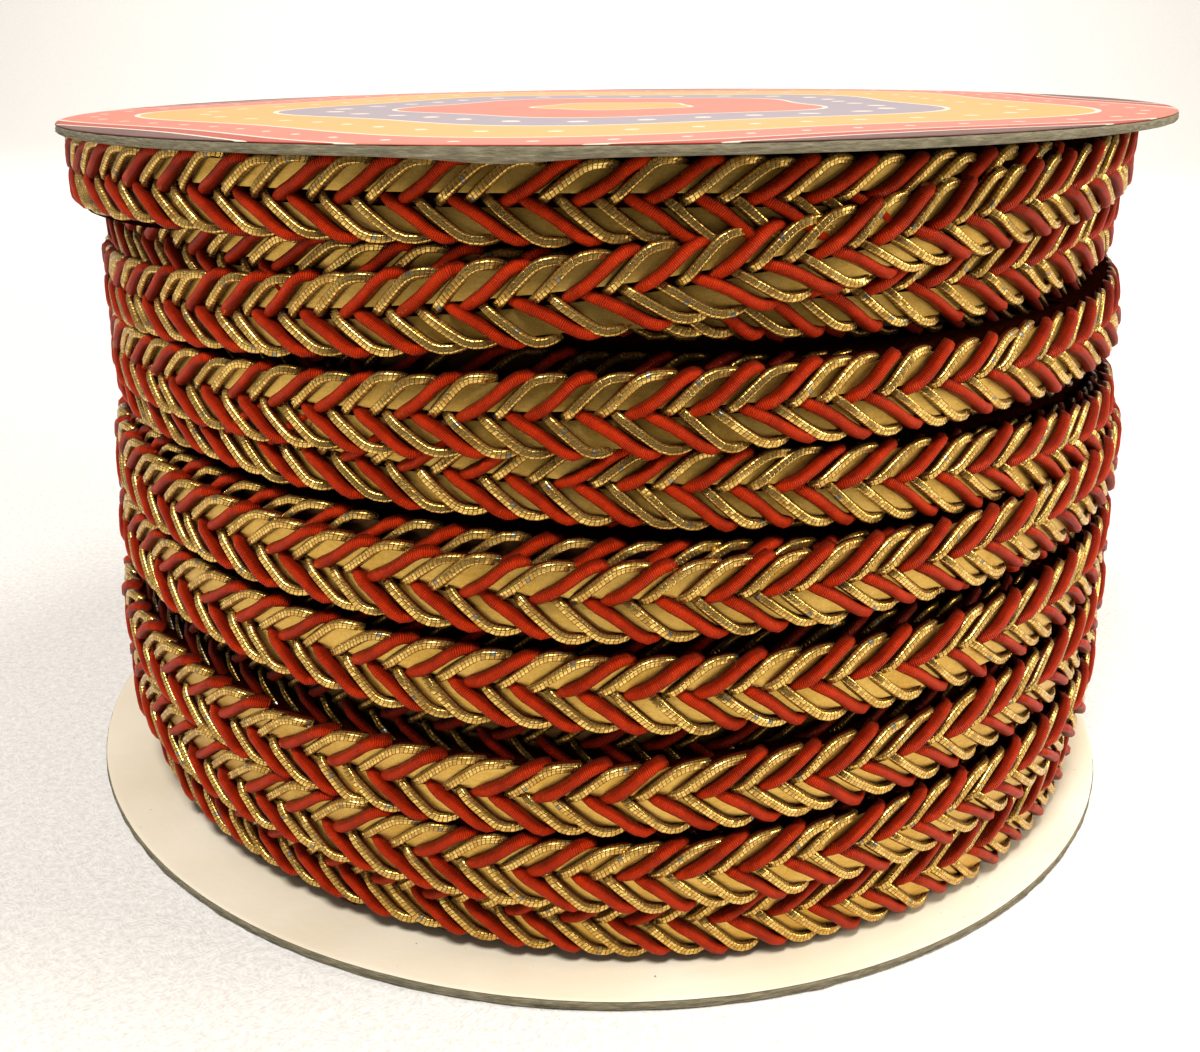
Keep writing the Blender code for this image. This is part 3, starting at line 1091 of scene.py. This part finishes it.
def add_discs(card, paper, printed):
    """Both card discs with the paper on their upper faces."""
    for side, placing, dent_depth, face in (
        ("lower", Matrix.Identity(4), 0.0, paper),
        ("upper", upper_place(), DENT_DEPTH, printed),
    ):
        board = add_round(side + "_board", CARD_PROFILE, card, placing, dent_depth)
        sheet = add_round(side + "_paper", PAPER_PROFILE, face, placing, 0.0)
        for piece in (board, sheet):
            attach(piece, BODY)
            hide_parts(side + "_disc")


def add_floor(finish):
    """A pale floor that sweeps up into a backdrop behind the spool."""
    outline = [(-FLOOR_HALF, FLOOR_LEVEL), (FLOOR_BACK, FLOOR_LEVEL)]
    for i in range(1, SWEEP_STEPS + 1):
        angle = math.pi / 2 * i / SWEEP_STEPS
        outline.append((FLOOR_BACK + SWEEP_RADIUS * math.sin(angle), SWEEP_RADIUS * (1 - math.cos(angle))))
    outline.append((FLOOR_BACK + SWEEP_RADIUS, BACKDROP_TOP))
    points = [(x, y, z) for y, z in outline for x in (-FLOOR_HALF, FLOOR_HALF)]
    faces = [(2 * i, 2 * i + 1, 2 * i + 3, 2 * i + 2) for i in range(len(outline) - 1)]
    mesh_object("pale_floor", points, (faces,), finish)


def add_flag(finish):
    """A dark card behind the camera, like the person who holds it, seen in reflections only."""
    made = mesh_object("dark_flag", FLAG_CORNERS, ([(0, 1, 2, 3)],), finish)
    made.visible_camera = False
    made.visible_diffuse = False
    made.visible_shadow = False


def add_light(name, size, place, target, power, colour):
    data = bpy.data.lights.new(name, "AREA")
    data.shape = "DISK"
    data.size = size
    data.energy = power
    data.color = colour
    made = bpy.data.objects.new(name, data)
    direction = np.array(target, float) - np.array(place, float)
    direction /= np.linalg.norm(direction)
    right = np.cross(direction, (0, 0, 1))
    right /= np.linalg.norm(right)
    up = np.cross(right, direction)
    made.matrix_world = Matrix.Translation(place) @ Matrix((right, up, -direction)).transposed().to_4x4()
    bpy.context.scene.collection.objects.link(made)


def add_lights():
    world = bpy.data.worlds.new("studio")
    world.use_nodes = True
    background = world.node_tree.nodes["Background"]
    background.inputs["Color"].default_value = WORLD_COLOUR
    background.inputs["Strength"].default_value = WORLD_STRENGTH
    bpy.context.scene.world = world
    bpy.context.scene.view_settings.view_transform = "Standard"
    for row in LIGHTS:
        add_light(*row)


def add_braid():
    red = silk_material("red_silk", *RED_SILK)
    gold = foil_cord_material("gold_foil", *GOLD_FOIL)
    tape = tape_material("gold_tape", *GOLD_TAPE)
    # painted shade: darker copies of the silk, foil and tape for the deep layer below
    painted_shade_red = silk_material("shaded_red_silk", *SHADED_SILK)
    painted_shade_gold = foil_cord_material("shaded_gold_foil", *SHADED_FOIL)
    painted_shade_tape = tape_material("shaded_gold_tape", *SHADED_TAPE)
    # painted shade: the body behind the strands is near-black
    dark = dark_material("shaded_thread", *SHADED_THREAD)

    pieces = add_strip_cords(red, gold)
    pieces += add_under_cords(red, gold, painted_shade_red, painted_shade_gold)
    pieces += add_tapes(tape, painted_shade_tape)
    pieces.append((add_inner_form(dark), "braid"))
    for piece, slot in pieces:
        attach(piece, BODY)
        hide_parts("wound_braid")


add_camera()
add_lights()
add_floor(floor_material(*PALE_CLOTH))
add_flag(dark_material("dark_cloth", *DARK_CLOTH))
add_braid()
add_discs(card_edge_material(*GREY_CARD), paper_material(*CREAM_PAPER), print_material())
